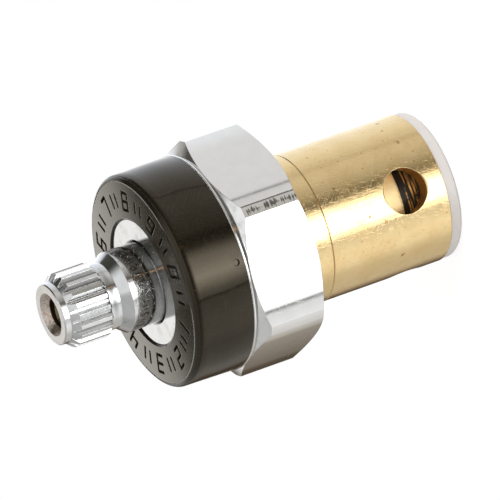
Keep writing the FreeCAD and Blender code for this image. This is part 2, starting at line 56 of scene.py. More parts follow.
class Effect(Enum):
    """The surface effects that several finishes share."""

    PLACE = "place_on_stem"
    TURNING = "turning_lines"
    SCRATCHES = "fine_scratches"
    SPOTS = "scattered_spots"
    CLOUDS = "cloudy_tone"
    EDGES = "worn_edges"
    # painted shade and dirt in grooves, valleys and bores
    STREAKS = "drawn_streaks"
    SHADE_AND_DIRT = "recess_shade_and_dirt"


class Slot(Enum):
    """The material slots of the part's record."""

    CHROME_STEM = "chrome_stem"
    CHROME_NUT = "chrome_nut"
    BLACK_RING = "black_ring"
    BRASS = "brass"
    WHITE_SEAL = "white_seal"
    CERAMIC = "ceramic"
    STEEL = "steel"
    SLIDE_PLASTIC = "slide_plastic"
    BLACK_RUBBER = "black_rubber"


def label(name: str) -> str:
    """Gives the name of the socket that a Python name stands for."""
    return name.replace("_", " ").capitalize()


class Desk:
    """Places nodes in one node tree and joins them."""

    def __init__(self, tree: bpy.types.NodeTree) -> None:
        """Starts with an empty tree."""
        self.tree = tree
        tree.nodes.clear()

    def join(self, socket: Socket, feed: Feed) -> None:
        """Gives an input its link or its value.

        Args:
            socket: The input to fill.
            feed: A socket to link, or a number or tuple to store.
        """
        if isinstance(feed, bpy.types.NodeSocket):
            self.tree.links.new(feed, socket)
            return
        if isinstance(feed, (tuple, list)) and socket.type == "RGBA" and len(feed) == 3:
            feed = (*feed, 1.0)
        socket.default_value = feed

    def put(self, kind: str, feeds: Optional[Dict[Union[str, int], Feed]] = None,
            **settings: object) -> bpy.types.Node:
        """Adds a node.

        Args:
            kind: The node's type name.
            feeds: What goes into its inputs, by name or number.
            **settings: Properties to set on the node.

        Returns:
            The new node.
        """
        node = self.tree.nodes.new(kind)
        for name, value in settings.items():
            setattr(node, name, value)
        for key, feed in (feeds or {}).items():
            self.join(node.inputs[key], feed)
        return node

    def math(self, operation: str, first: Feed, second: Feed = 0.0, clamp: bool = False) -> Socket:
        """Adds a Math node, whose result may be kept between 0 and 1."""
        node = self.put("ShaderNodeMath", {0: first, 1: second}, operation=operation, use_clamp=clamp)
        return node.outputs[0]

    def times(self, first: Feed, second: Feed, clamp: bool = False) -> Socket:
        """Multiplies two values."""
        return self.math("MULTIPLY", first, second, clamp)

    def plus(self, first: Feed, second: Feed, clamp: bool = False) -> Socket:
        """Adds two values."""
        return self.math("ADD", first, second, clamp)

    def minus(self, first: Feed, second: Feed) -> Socket:
        """Takes the second value from the first."""
        return self.math("SUBTRACT", first, second)

    def over(self, first: Feed, second: Feed) -> Socket:
        """Divides the first value by the second."""
        return self.math("DIVIDE", first, second)

    def between(self, value: Feed, low: float, high: float, start: Feed = 0.0, end: Feed = 1.0) -> Socket:
        """Maps a value smoothly, from start at low to end at high."""
        node = self.put("ShaderNodeMapRange", {0: value, 1: low, 2: high, 3: start, 4: end},
                        interpolation_type="SMOOTHSTEP")
        return node.outputs[0]

    def window(self, value: Feed, opening: Tuple[float, float], closing: Tuple[float, float]) -> Socket:
        """Gives 1 between the slopes of an opening and a closing, and 0 outside them."""
        return self.times(self.between(value, *opening), self.between(value, *closing))

    def vector(self, x: Feed = 0.0, y: Feed = 0.0, z: Feed = 0.0) -> Socket:
        """Makes a vector of three values."""
        return self.put("ShaderNodeCombineXYZ", {0: x, 1: y, 2: z}).outputs[0]

    def split(self, vector: Feed) -> List[Socket]:
        """Gives the three values of a vector."""
        return list(self.put("ShaderNodeSeparateXYZ", {0: vector}).outputs)

    def shift(self, vector: Feed, step: Feed) -> Socket:
        """Adds two vectors."""
        return self.put("ShaderNodeVectorMath", {0: vector, 1: step}, operation="ADD").outputs[0]

    def mix(self, share: Feed, first: Feed, second: Feed) -> Socket:
        """Mixes two colours, with a share of the second."""
        return self.put("ShaderNodeMix", {0: share, 6: first, 7: second}, data_type="RGBA").outputs[2]

    def noise(self, vector: Feed, scale: Feed, detail: float = 2.0, roughness: float = 0.5) -> Socket:
        """Adds a noise texture and gives its value, about 0.5 on average."""
        feeds = {"Vector": vector, "Scale": scale, "Detail": detail, "Roughness": roughness}
        return self.put("ShaderNodeTexNoise", feeds).outputs[0]

    def ramp(self, value: Feed, stops: Sequence[Tuple[float, Colour]], smooth: bool = True) -> Socket:
        """Adds a colour ramp.

        Args:
            value: Where it is read, from 0 to 1.
            stops: Positions and colours.
            smooth: Whether it eases between the stops.

        Returns:
            The colour's socket.
        """
        node = self.put("ShaderNodeValToRGB", {0: value})
        band = node.color_ramp
        band.interpolation = "EASE" if smooth else "LINEAR"
        band.elements.remove(band.elements[-1])
        band.elements[0].position = stops[0][0]
        band.elements[0].color = (*stops[0][1], 1.0)
        for position, colour in stops[1:]:
            band.elements.new(position).color = (*colour, 1.0)
        return node.outputs[0]

    def where(self) -> Dict[str, Socket]:
        """Places the effect that tells where a point lies, and gives its outputs by name."""
        node = self.put("ShaderNodeGroup", node_tree=EffectDesk.group(Effect.PLACE))
        return {output.name: output for output in node.outputs}


class EffectDesk(Desk):
    """The desk of a shared effect. Each effect is a method with the name that its option has.

    Attributes:
        made: The groups built so far.
        scratch_degrees: The directions of the fine scratches.
    """

    made: Dict[Effect, bpy.types.NodeTree] = {}
    scratch_degrees: Tuple[float, ...] = (12.0, 71.0, 138.0)

    @classmethod
    def group(cls, effect: Effect) -> bpy.types.NodeTree:
        """Gives the node group of an effect.

        Args:
            effect: Which effect.

        Returns:
            Its node group, built at the first call.
        """
        if effect not in cls.made:
            cls.made[effect] = bpy.data.node_groups.new(effect.value, "ShaderNodeTree")
            getattr(cls(cls.made[effect]), effect.value)()
        return cls.made[effect]

    def take(self, vector: str = "", **numbers: float) -> List[Socket]:
        """Args:
            vector: The name of its vector input, where it has one.
            **numbers: The usual values of its number inputs.

        Returns:
            The sockets of the inputs, in this order.
        """
        names = [label(name) for name in numbers]
        for name, value in zip(names, numbers.values()):
            number = self.tree.interface.new_socket(name, in_out="INPUT", socket_type="NodeSocketFloat")
            number.default_value = value
        if vector:
            self.tree.interface.new_socket(vector, in_out="INPUT", socket_type="NodeSocketVector")
            names.insert(0, vector)
        given = self.put("NodeGroupInput")
        return [given.outputs[name] for name in names]

    def give(self, **results: Socket) -> None:
        """Args:
            **results: What each output gives.
        """
        for name, result in results.items():
            kind = "NodeSocketVector" if result.type == "VECTOR" else "NodeSocketFloat"
            self.tree.interface.new_socket(label(name), in_out="OUTPUT", socket_type=kind)
        out = self.put("NodeGroupOutput")
        for name, result in results.items():
            self.join(out.inputs[label(name)], result)

    def place_on_stem(self) -> None:
        """Tells where a point lies on the part, in millimetres about its own axis."""
        place = self.put("ShaderNodeTexCoord").outputs
        facing = place["Normal"]
        scaled = self.put("ShaderNodeVectorMath", {0: place["Object"], 3: 1 / MM}, operation="SCALE")
        point = scaled.outputs[0]
        x, y, z = self.split(point)
        up = self.split(facing)[2]
        radius = self.math("SQRT", self.plus(self.times(x, x), self.times(y, y)))
        turn = self.math("ARCTAN2", y, x)
        along = self.put("ShaderNodeMix", {0: self.math("ABSOLUTE", up), 2: z, 3: radius}, data_type="FLOAT")
        side = self.put("ShaderNodeVectorMath", {0: (0, 0, 1), 1: facing}, operation="CROSS_PRODUCT")
        across = self.put("ShaderNodeVectorMath", {0: point, 1: side.outputs[0]}, operation="DOT_PRODUCT")
        self.give(point=point, radius=radius, height=z, turn=turn, facing_up=up,
                  unrolled=self.vector(self.times(turn, radius), along.outputs[0], radius),
                  across=across.outputs["Value"])

    def turning_lines(self) -> None:
        """Draws the lines that a lathe leaves round the axis, on sides and on end faces."""
        unrolled, per_mm, breaks, turn = self.take("Unrolled", lines_per_mm=4.0, breaks=0.4, turn=0.0)
        ring = self.vector(self.times(self.math("COSINE", turn), breaks),
                           self.times(self.split(unrolled)[1], per_mm),
                           self.times(self.math("SINE", turn), breaks))
        self.give(height=self.noise(ring, 1.0, 3.0, 0.6))

    def fine_scratches(self) -> None:
        """Draws short straight scratches in three directions."""
        unrolled, width, length, amount, seed = self.take("Unrolled", width_mm=0.05, length_mm=1.6,
                                                          amount=0.5, seed=0.0)
        u, v, _ = self.split(unrolled)
        edge = self.minus(0.86, self.times(amount, 0.22))
        mask: Feed = 0.0
        for number, degrees in enumerate(self.scratch_degrees):
            cosine, sine = math.cos(math.radians(degrees)), math.sin(math.radians(degrees))
            ahead = self.plus(self.times(u, cosine), self.times(v, sine))
            beside = self.minus(self.times(v, cosine), self.times(u, sine))
            bend = self.times(self.noise(unrolled, 0.5 + 0.2 * number), 0.6)
            spot = self.vector(self.over(ahead, length), self.over(self.plus(beside, bend), width),
                               self.plus(seed, 7.3 * number))
            line = self.times(self.minus(self.noise(spot, 1.0, 0.0), edge), 12.0, clamp=True)
            mask = self.math("MAXIMUM", mask, line)
        self.give(mask=mask)

    def scattered_spots(self) -> None:
        """Draws round spots of mixed sizes, such as tarnish, pits or dust."""
        point, spacing, size, amount, ragged, seed = self.take("Point", spacing_mm=2.0, size=0.2, amount=0.3,
                                                               ragged=0.3, seed=0.0)
        place = self.put("ShaderNodeVectorMath", {0: point, 3: self.over(1.0, spacing)}, operation="SCALE")
        moved = self.shift(place.outputs[0], self.vector(seed, seed, 0.0))
        cells = self.put("ShaderNodeTexVoronoi", {"Vector": moved, "Scale": 1.0}, feature="F1").outputs
        shade = self.put("ShaderNodeSeparateColor", {0: cells["Color"]}).outputs
        reach = self.times(size, self.plus(0.35, shade[1]))
        outline = self.times(self.minus(self.noise(moved, 9.0, 3.0), 0.5), ragged)
        away = self.plus(cells["Distance"], outline)
        inside = self.times(self.minus(reach, away), 14.0, clamp=True)
        self.give(mask=self.times(inside, self.math("LESS_THAN", shade[0], amount)))

    def cloudy_tone(self) -> None:
        """Draws a slow change of tone, from 0 to 1."""
        point, size, contrast, seed = self.take("Point", size_mm=4.0, contrast=1.5, seed=0.0)
        cloud = self.noise(self.shift(point, self.vector(seed, 0.0, seed)), self.over(1.0, size), 4.0, 0.55)
        self.give(tone=self.plus(self.times(self.minus(cloud, 0.5), contrast), 0.5, clamp=True))

    def worn_edges(self) -> None:
        """Masks the sharp edges, which handling polishes first."""
        width, strength = self.take(width_mm=0.12, strength=6.0)
        bevel = self.put("ShaderNodeBevel", {"Radius": self.times(width, MM)}, samples=4)
        normal = self.put("ShaderNodeNewGeometry").outputs["Normal"]
        dot = self.put("ShaderNodeVectorMath", {0: bevel.outputs[0], 1: normal}, operation="DOT_PRODUCT")
        self.give(mask=self.times(self.minus(1.0, dot.outputs["Value"]), strength, clamp=True))

    def drawn_streaks(self) -> None:
        """Draws faint streaks along the axis, as drawn tube has."""
        unrolled, width, length, seed = self.take("Unrolled", width_mm=0.5, length_mm=8.0, seed=0.0)
        u, v, _ = self.split(unrolled)
        self.give(height=self.noise(self.vector(self.over(u, width), self.over(v, length), seed), 1.0))

    def recess_shade_and_dirt(self) -> None:
        """Masks the painted shade and dirt in grooves, valleys and bores."""
        point, reach, strength = self.take("Point", reach_mm=0.8, strength=1.0)
        # painted shade: the less open a point is, the darker the finishes paint it
        shade = self.put("ShaderNodeAmbientOcclusion", {"Distance": self.times(reach, MM)}, samples=8)
        hidden_share = self.times(self.minus(1.0, shade.outputs["AO"]), strength)
        broken = self.plus(0.55, self.times(self.noise(point, 1.6, 3.0), 0.9))
        self.give(mask=self.times(hidden_share, broken, clamp=True))


class Bench(Desk):
    """The desk of one finish, which gathers the colour, roughness and relief of its surface."""

    def __init__(self, tree: bpy.types.NodeTree, colour: Colour) -> None:
        """Starts with a plain shader.

        Args:
            tree: The material's node tree.
            colour: The main colour, linear.
        """
        super().__init__(tree)
        self.shader = self.put("ShaderNodeBsdfPrincipled")
        end = self.put("ShaderNodeOutputMaterial")
        self.join(end.inputs["Surface"], self.shader.outputs[0])
        self.place = self.where()
        self.colour: Feed = colour
        self.rough: Feed = 0.0
        self.height: Feed = 0.0

    def layer(self, effect: Effect, **values: float) -> Socket:
        """Places a shared effect on this surface.

        Args:
            effect: Which effect.
            **values: Its number inputs, with _ for each space in their names.

        Returns:
            Its only output.
        """
        node = self.put("ShaderNodeGroup", node_tree=EffectDesk.group(effect))
        for name, value in values.items():
            node.inputs[label(name)].default_value = value
        for name in ("Point", "Unrolled", "Turn"):
            if name in node.inputs:
                self.join(node.inputs[name], self.place[name])
        return node.outputs[0]

    def tint(self, mask: Feed, colour: Feed, share: float = 1.0) -> None:
        """Lays a share of a colour over the surface where the mask is high."""
        self.colour = self.mix(self.times(mask, share), self.colour, colour)

    def roughen(self, *layers: Tuple[Feed, float]) -> None:
        """Adds roughness, with pairs of a mask and an amount."""
        for mask, amount in layers:
            self.rough = self.plus(self.rough, self.times(mask, amount))

    def carve(self, *layers: Tuple[Feed, float]) -> None:
        """Adds relief, with pairs of a height and how deep it is in millimetres."""
        for layer, depth in layers:
            self.height = self.plus(self.height, self.times(layer, depth * MM))

    def fix(self, **values: Feed) -> None:
        """Sets plain values on the shader, with _ for each space in their names."""
        for name, value in values.items():
            self.join(self.shader.inputs[name.replace("_", " ")], value)

    def close(self, edge_radius: float) -> None:
        """Joins what was gathered to the shader and softens the edges.

        Args:
            edge_radius: How far sharp edges look rounded, in millimetres.
        """
        rounded = self.put("ShaderNodeBevel", {"Radius": edge_radius * MM}, samples=6)
        bump = self.put("ShaderNodeBump", {"Strength": 1.0, "Distance": 1.0, "Height": self.height,
                                           "Normal": rounded.outputs[0]})
        self.fix(Base_Color=self.colour, Roughness=self.rough, Normal=bump.outputs[0],
                 Coat_Normal=bump.outputs[0])


@dataclass(frozen=True)
class Finish:
    """The base of a finish: a material with one Principled shader. Its sizes are in millimetres.

    Attributes:
        slot: The record's slot that it dresses.
        colour: Its main colour, linear.
        roughness: Its usual roughness.
        edge_radius: How far its sharp edges look rounded.
    """

    slot: Slot
    colour: Colour
    roughness: float
    edge_radius: float

    def material(self) -> bpy.types.Material:
        """Builds the material.

        Returns:
            The finished material.
        """
        material = bpy.data.materials.new(self.slot.value + "_finish")
        material.use_nodes = True
        material.diffuse_color = (*self.colour, 1.0)
        bench = Bench(material.node_tree, self.colour)
        self.dress(bench)
        bench.close(self.edge_radius)
        return material

    def dress(self, bench: Bench) -> None:
        """Gives the surface its look on the bench; each finish has its own."""
        raise NotImplementedError


@dataclass(frozen=True)
class BrassFinish(Finish):
    """Bare turned brass with tarnish spots, light scratches and a cloudy tone.

    Attributes:
        deep_colour: The darker gold of its handled places.
        spot_and_shade_colour: The brown of its tarnish spots, and of the painted shade and dirt in its
            recesses.
        speck_colour: The orange of its small specks.
        inner_colour: The darker colour of the surfaces inside inner_radius.
        inner_radius: Inside this radius the surfaces are darker and rougher.
        skin_radius: Radius of the handled outside, which stays clean and takes no painted shade.
        pale_height: Above this height those surfaces stay nearer the main colour.
    """

    deep_colour: Colour
    spot_and_shade_colour: Colour
    speck_colour: Colour
    inner_colour: Colour
    inner_radius: float
    skin_radius: float
    pale_height: float

    def dress(self, bench: Bench) -> None:
        """Lays tone, specks, spots and scratches over the brass.

        Args:
            bench: The material's bench.
        """
        radius, height = bench.place["Radius"], bench.place["Height"]
        tone = bench.layer(Effect.CLOUDS, size_mm=3.5, contrast=2.2)
        small = bench.layer(Effect.CLOUDS, size_mm=0.5, contrast=1.6, seed=5.0)
        grain = bench.layer(Effect.CLOUDS, size_mm=0.11, contrast=2.0, seed=7.0)
        lines = bench.layer(Effect.TURNING, lines_per_mm=5.0, breaks=1.2)
        streaks = bench.layer(Effect.STREAKS, width_mm=0.28)
        marks = bench.layer(Effect.SCRATCHES, width_mm=0.05, length_mm=1.3, amount=0.6)
        spots = bench.layer(Effect.SPOTS, spacing_mm=1.5, size=0.16, amount=0.22, ragged=0.5)
        specks = bench.layer(Effect.SPOTS, spacing_mm=0.60, size=0.19, amount=0.32, ragged=0.4, seed=11.0)
        edges = bench.layer(Effect.EDGES, width_mm=0.1)
        shade_and_dirt = bench.layer(Effect.SHADE_AND_DIRT, reach_mm=0.7, strength=0.7)
        inside = bench.between(radius, self.skin_radius, self.skin_radius - 0.3)
        within = bench.between(radius, self.inner_radius + 0.1, self.inner_radius - 0.1)
        pale_share = bench.between(height, self.pale_height, self.pale_height + 0.4)
        inner_tone = bench.mix(small, self.inner_colour, self.deep_colour)
        inner_tone = bench.mix(bench.times(pale_share, 0.6), inner_tone, self.colour)
        bench.tint(tone, self.deep_colour, 0.55)
        bench.tint(small, self.deep_colour, 0.22)
        bench.tint(specks, self.speck_colour, 0.8)
        bench.tint(spots, self.spot_and_shade_colour, 0.75)
        bench.tint(marks, self.deep_colour, 0.35)
        bench.tint(inside, self.speck_colour, 0.6)
        # painted shade and dirt: brown in the recesses inside skin_radius, from the occlusion mask
        bench.tint(bench.times(shade_and_dirt, inside), self.spot_and_shade_colour, 0.8)
        # darker and rougher inside inner_radius, nearer the main colour above pale_height
        bench.tint(within, inner_tone)
        bench.tint(edges, self.colour, 0.6)
        bench.fix(Metallic=1.0)
        bench.rough = bench.between(tone, 0.1, 0.9, self.roughness - 0.03, self.roughness + 0.06)
        bench.roughen((spots, 0.25), (within, 0.15), (inside, 0.25), (edges, 0.35))
        bench.carve((lines, 0.0010), (streaks, 0.014), (grain, 0.002), (marks, -0.004), (spots, -0.003),
                    (small, 0.004))


@dataclass(frozen=True)
class NutChromeFinish(Finish):
    """Mirror chrome on buffed flats, with lathe marks on the turned corners.

    Attributes:
        land_radius: From this radius the surface is a turned corner.
        torn_turn: Angle about the axis of the corner that the tool has torn, in radians.
        torn_reach: How far that corner reaches to each side, in radians.
        crown: How far a flat falls off towards its edges, in millimetres over its half width.
        flat_half_width: Half the width of a flat.
        buffed_share: Share of the half width from which the buffing rounds the flat off.
        edge_fall: How fast it falls there, in millimetres for the square of a half width.
    """

    land_radius: float
    torn_turn: float
    torn_reach: float
    crown: float
    flat_half_width: float
    buffed_share: float
    edge_fall: float

    def dress(self, bench: Bench) -> None:
        """Rounds the flats, tears one corner and lays haze, pits and scratches over the plate.

        Args:
            bench: The material's bench.
        """
        radius, upward = bench.place["Radius"], bench.place["Facing up"]
        steep = bench.math("ABSOLUTE", upward)
        across = bench.over(bench.math("ABSOLUTE", bench.place["Across"]), self.flat_half_width)
        rim = bench.math("MAXIMUM", bench.minus(across, self.buffed_share), 0.0)
        past = bench.minus(bench.place["Turn"], self.torn_turn)
        aside = bench.math("ABSOLUTE", past)
        land = bench.times(bench.between(radius, self.land_radius, self.land_radius + 0.02),
                           bench.math("LESS_THAN", steep, 0.1))
        land = bench.times(land, bench.math("LESS_THAN", aside, self.torn_reach))
        comb = bench.layer(Effect.TURNING, lines_per_mm=4.4, breaks=5.0)
        lines = bench.layer(Effect.TURNING, lines_per_mm=6.0, breaks=0.6)
        haze = bench.layer(Effect.CLOUDS, size_mm=1.6, contrast=1.8)
        wave = bench.layer(Effect.CLOUDS, size_mm=6.0, contrast=1.0, seed=3.0)
        pits = bench.layer(Effect.SPOTS, spacing_mm=1.3, size=0.05, amount=0.2, ragged=0.1)
        marks = bench.layer(Effect.SCRATCHES, width_mm=0.03, length_mm=2.6, amount=0.4, seed=2.0)
        edges = bench.layer(Effect.EDGES, width_mm=0.1)
        end_face = bench.between(steep, 0.4, 0.6)
        cone = bench.window(upward, (0.76, 0.82), (0.95, 0.90))
        cone = bench.times(cone, bench.minus(radius, self.land_radius))
        torn = bench.minus(comb, bench.times(aside, 5.0))
        scored = (0.08, 0.08, 0.07)
        bench.tint(haze, (0.70, 0.71, 0.71), 0.35)
        bench.tint(bench.times(bench.between(haze, 0.45, 0.95), end_face), (0.50, 0.50, 0.47), 0.5)
        bench.tint(bench.times(bench.between(torn, 0.43, 0.49), land), scored, 0.85)
        bench.tint(pits, (0.20, 0.15, 0.11), 0.8)
        bench.tint(edges, (0.92, 0.93, 0.93), 0.4)
        bench.tint(bench.times(bench.between(past, 0.040, 0.046), land), scored, 0.8)
        bench.fix(Metallic=1.0)
        bench.rough = bench.between(haze, 0.2, 0.9, self.roughness, self.roughness + 0.03)
        bench.roughen((marks, 0.25), (edges, 0.30), (end_face, 0.06))
        bench.carve((bench.times(across, across), -self.crown), (bench.times(rim, rim), -self.edge_fall),
                    (cone, -0.10), (bench.times(bench.times(past, radius), land), -0.15),
                    (bench.times(comb, land), 0.03), (marks, -0.001), (wave, 0.003),
                    (bench.times(lines, end_face), 0.0015), (pits, -0.002))


@dataclass(frozen=True)
class StemChromeFinish(Finish):
    """Chrome that handling has scratched, worn and stained brown in the screw hole.

    Attributes:
        bore_radius: Inside this radius at the tip the plating has gone.
        bore_foot: Height where the screw hole begins.
        mouth_foot: Height where its countersink begins.
        journal_top: Height of the shoulder; the journal below it is the scratched part.
        collar_foot: Height where the collar begins, which falls off slightly to the tip.
        teeth_foot: Height where the teeth begin.
        bore_colour: The colour inside the screw hole.
        bare_colour: The colour of the worn tip.
    """

    bore_radius: float
    bore_foot: float
    mouth_foot: float
    journal_top: float
    collar_foot: float
    teeth_foot: float
    bore_colour: Colour
    bare_colour: Colour

    def dress(self, bench: Bench) -> None:
        """Scratches the journal, paints shade and dirt into its recesses and stains the screw hole.

        Args:
            bench: The material's bench.
        """
        height = bench.place["Height"]
        lines = bench.layer(Effect.TURNING, lines_per_mm=7.0, breaks=0.7)
        haze = bench.layer(Effect.CLOUDS, size_mm=1.2, contrast=2.0)
        dents = bench.layer(Effect.CLOUDS, size_mm=0.45, contrast=2.0, seed=4.0)
        spots = bench.layer(Effect.SPOTS, spacing_mm=0.9, size=0.14, amount=0.3, ragged=0.5, seed=1.5)
        deep = bench.layer(Effect.SCRATCHES, width_mm=0.07, length_mm=0.9, amount=0.38, seed=1.0)
        fine = bench.layer(Effect.SCRATCHES, width_mm=0.03, length_mm=1.5, amount=0.8, seed=9.0)
        edges = bench.layer(Effect.EDGES, width_mm=0.08)
        shade_and_dirt = bench.layer(Effect.SHADE_AND_DIRT, reach_mm=0.6, strength=1.6)
        journal = bench.between(height, self.journal_top + 0.1, self.journal_top - 0.1)
        teeth = bench.between(height, self.teeth_foot, self.teeth_foot + 0.4)
        collar = bench.between(height, self.collar_foot, self.collar_foot + 1.4)
        bore = bench.times(bench.math("LESS_THAN", bench.place["Radius"], self.bore_radius),
                           bench.math("GREATER_THAN", height, self.bore_foot))
        flared = bench.math("GREATER_THAN", height, self.mouth_foot)
        shade_and_dirt_share = bench.math("MAXIMUM", bench.math("MAXIMUM", bench.times(teeth, 0.55), journal), 0.25)
        cuts = bench.times(deep, journal)
        rust = bench.times(bench.between(dents, 0.35, 0.75), 0.65)
        worn = bench.mix(flared, bench.mix(haze, self.bore_colour, (0.06, 0.045, 0.025)),
                         bench.mix(rust, (0.66, 0.61, 0.55), (0.42, 0.26, 0.17)))
        bench.tint(haze, (0.52, 0.52, 0.51), 0.4)
        bench.tint(spots, (0.30, 0.27, 0.24), 0.5)
        # painted shade and dirt: near black in recesses, full on the journal, about half on the teeth, a
        # quarter elsewhere
        bench.tint(bench.times(shade_and_dirt, shade_and_dirt_share), (0.07, 0.06, 0.05), 0.85)
        bench.tint(bench.math("MAXIMUM", cuts, bench.times(edges, 0.6)), (0.93, 0.94, 0.94))
        bench.tint(bench.times(bench.between(bench.place["Facing up"], 0.90, 0.98), flared),
                   self.bare_colour, 0.5)
        bench.tint(bore, worn)
        bench.fix(Metallic=1.0)
        bench.rough = bench.between(haze, 0.3, 1.0, self.roughness, self.roughness + 0.06)
        bench.roughen((teeth, 0.07), (cuts, 0.30), (edges, 0.20), (bore, 0.22))
        bench.carve((lines, 0.0004), (cuts, -0.016), (fine, -0.0008), (collar, -0.20),
                    (bench.times(dents, teeth), 0.006), (bench.times(dents, bore), 0.025), (spots, -0.001))


@dataclass(frozen=True)
class RingFinish(Finish):
    """Moulded black plastic: a glossy side and a satin face with its engraved scale.

    Attributes:
        face_height: Height of the ring's front face.
        face_roughness: Roughness of the satin face.
        mark_depth: Depth of the engraved scale.
        crown: How far the face falls off at crown_radius from the axis.
        crown_radius: The radius that the crown is given for.
        front_fall: Stretch behind the face in which the side falls off to the front.
        rear_fall: The side falls off to the rear from this far behind the face.
    """

    face_height: float
    face_roughness: float
    mark_depth: float
    crown: float
    crown_radius: float
    front_fall: float
    rear_fall: float

    def fallen(self, bench: Bench, away: Feed, stretch: float) -> Socket:
        """Gives a curve that grows with the square of a distance.

        Args:
            bench: The material's bench.
            away: How far past the start of the curve.
            stretch: Where the curve reaches 1.

        Returns:
            The curve on the ring's side, and 0 elsewhere.
        """
        side = bench.math("LESS_THAN", bench.math("ABSOLUTE", bench.place["Facing up"]), 0.5)
        share = bench.math("MAXIMUM", bench.over(away, stretch), 0.0)
        return bench.times(bench.times(share, share), side)

    def dress(self, bench: Bench) -> None:
        """Gives the side its gloss and the face its satin grain.

        Args:
            bench: The material's bench.
        """
        height, top = bench.place["Height"], self.face_height
        face = bench.times(bench.between(bench.place["Facing up"], 0.90, 0.995),
                           bench.math("GREATER_THAN", height, top - 0.05))
        marks = bench.times(bench.math("LESS_THAN", height, top - 0.02),
                            bench.math("GREATER_THAN", height, top - self.mark_depth - 0.02))
        grain = bench.layer(Effect.CLOUDS, size_mm=0.07, contrast=1.6)
        tone = bench.layer(Effect.CLOUDS, size_mm=2.5, contrast=1.8, seed=2.0)
        ripple = bench.layer(Effect.CLOUDS, size_mm=7.0, contrast=1.2, seed=8.0)
        swirl = bench.layer(Effect.SCRATCHES, width_mm=0.03, length_mm=2.6, amount=0.9, seed=3.0)
        dust = bench.layer(Effect.SPOTS, spacing_mm=1.1, size=0.05, amount=0.35, ragged=0.1, seed=6.0)
        dusty = (0.30, 0.26, 0.21)
        bench.tint(tone, (0.009, 0.007, 0.004), 0.4)
        bench.tint(face, (0.018, 0.014, 0.009), 0.6)
        bench.tint(dust, dusty, 0.4)
        bench.tint(swirl, dusty, 0.05)
        bench.fix(IOR=1.48, Specular_Tint=(1.0, 0.86, 0.64), Coat_Roughness=0.22,
                  Coat_Tint=(1.0, 0.95, 0.86), Coat_Weight=face)
        bench.rough = bench.between(face, 0.0, 1.0, self.roughness, self.face_roughness)
        bench.roughen((swirl, 0.06), (tone, 0.02))
        bench.rough = bench.times(bench.rough, bench.between(marks, 0.0, 1.0, 1.0, 0.6))
        outward = bench.over(bench.place["Radius"], self.crown_radius)
        ahead = bench.minus(height, top - self.front_fall)
        behind = bench.minus(top - self.rear_fall, height)
        bench.carve((bench.times(bench.times(outward, outward), face), -self.crown),
                    (self.fallen(bench, ahead, self.front_fall), -0.24 * self.front_fall),
                    (self.fallen(bench, behind, self.rear_fall), -0.10 * self.rear_fall),
                    (bench.times(grain, face), 0.0008), (ripple, 0.006), (swirl, -0.0002), (dust, 0.002))


@dataclass(frozen=True)
class SealFinish(Finish):
    """Milky soft seal, slightly translucent, with a fine skin and a little dust.

    Attributes:
        deep_colour: The colour of its darker patches.
    """

    deep_colour: Colour

    def dress(self, bench: Bench) -> None:
        """Gives the seal its soft depth, skin and dust.

        Args:
            bench: The material's bench.
        """
        tone = bench.layer(Effect.CLOUDS, size_mm=2.0, contrast=1.6)
        skin = bench.layer(Effect.CLOUDS, size_mm=0.12, contrast=1.5, seed=2.0)
        dust = bench.layer(Effect.SPOTS, spacing_mm=1.4, size=0.06, amount=0.3, ragged=0.2)
        bench.tint(tone, self.deep_colour, 0.5)
        bench.tint(dust, (0.45, 0.36, 0.28), 0.4)
        bench.fix(Subsurface_Weight=0.35, Subsurface_Radius=(0.9, 0.8, 0.7), Subsurface_Scale=0.0012)
        bench.rough = bench.between(skin, 0.2, 0.8, self.roughness - 0.05, self.roughness + 0.08)
        bench.carve((skin, 0.002), (tone, 0.02))


@dataclass(frozen=True)
class PlainPartFinish(Finish):
    """A finish of the inner pieces: turned or moulded, with its own grain and spots.

    Attributes:
        second_colour: The colour of its darker or paler patches.
        metallic: 1 for metal and 0 for the rest.
        lines_per_mm: How close its turning lines are.
        line_depth: How deep they are.
        spot_amount: How many spots it has, from 0 to 1.
    """

    second_colour: Colour
    metallic: float
    lines_per_mm: float
    line_depth: float
    spot_amount: float

    def dress(self, bench: Bench) -> None:
        """Gives the piece its turning lines, tone and spots.

        Args:
            bench: The material's bench.
        """
        lines = bench.layer(Effect.TURNING, lines_per_mm=self.lines_per_mm, breaks=0.8)
        tone = bench.layer(Effect.CLOUDS, size_mm=1.4, contrast=2.0)
        spots = bench.layer(Effect.SPOTS, spacing_mm=0.9, size=0.12, amount=self.spot_amount, ragged=0.4)
        bench.tint(tone, self.second_colour, 0.6)
        bench.tint(spots, self.second_colour, 0.6)
        bench.fix(Metallic=self.metallic)
        bench.rough = bench.between(tone, 0.1, 0.9, self.roughness, self.roughness + 0.12)
        bench.carve((lines, self.line_depth), (spots, -0.002))


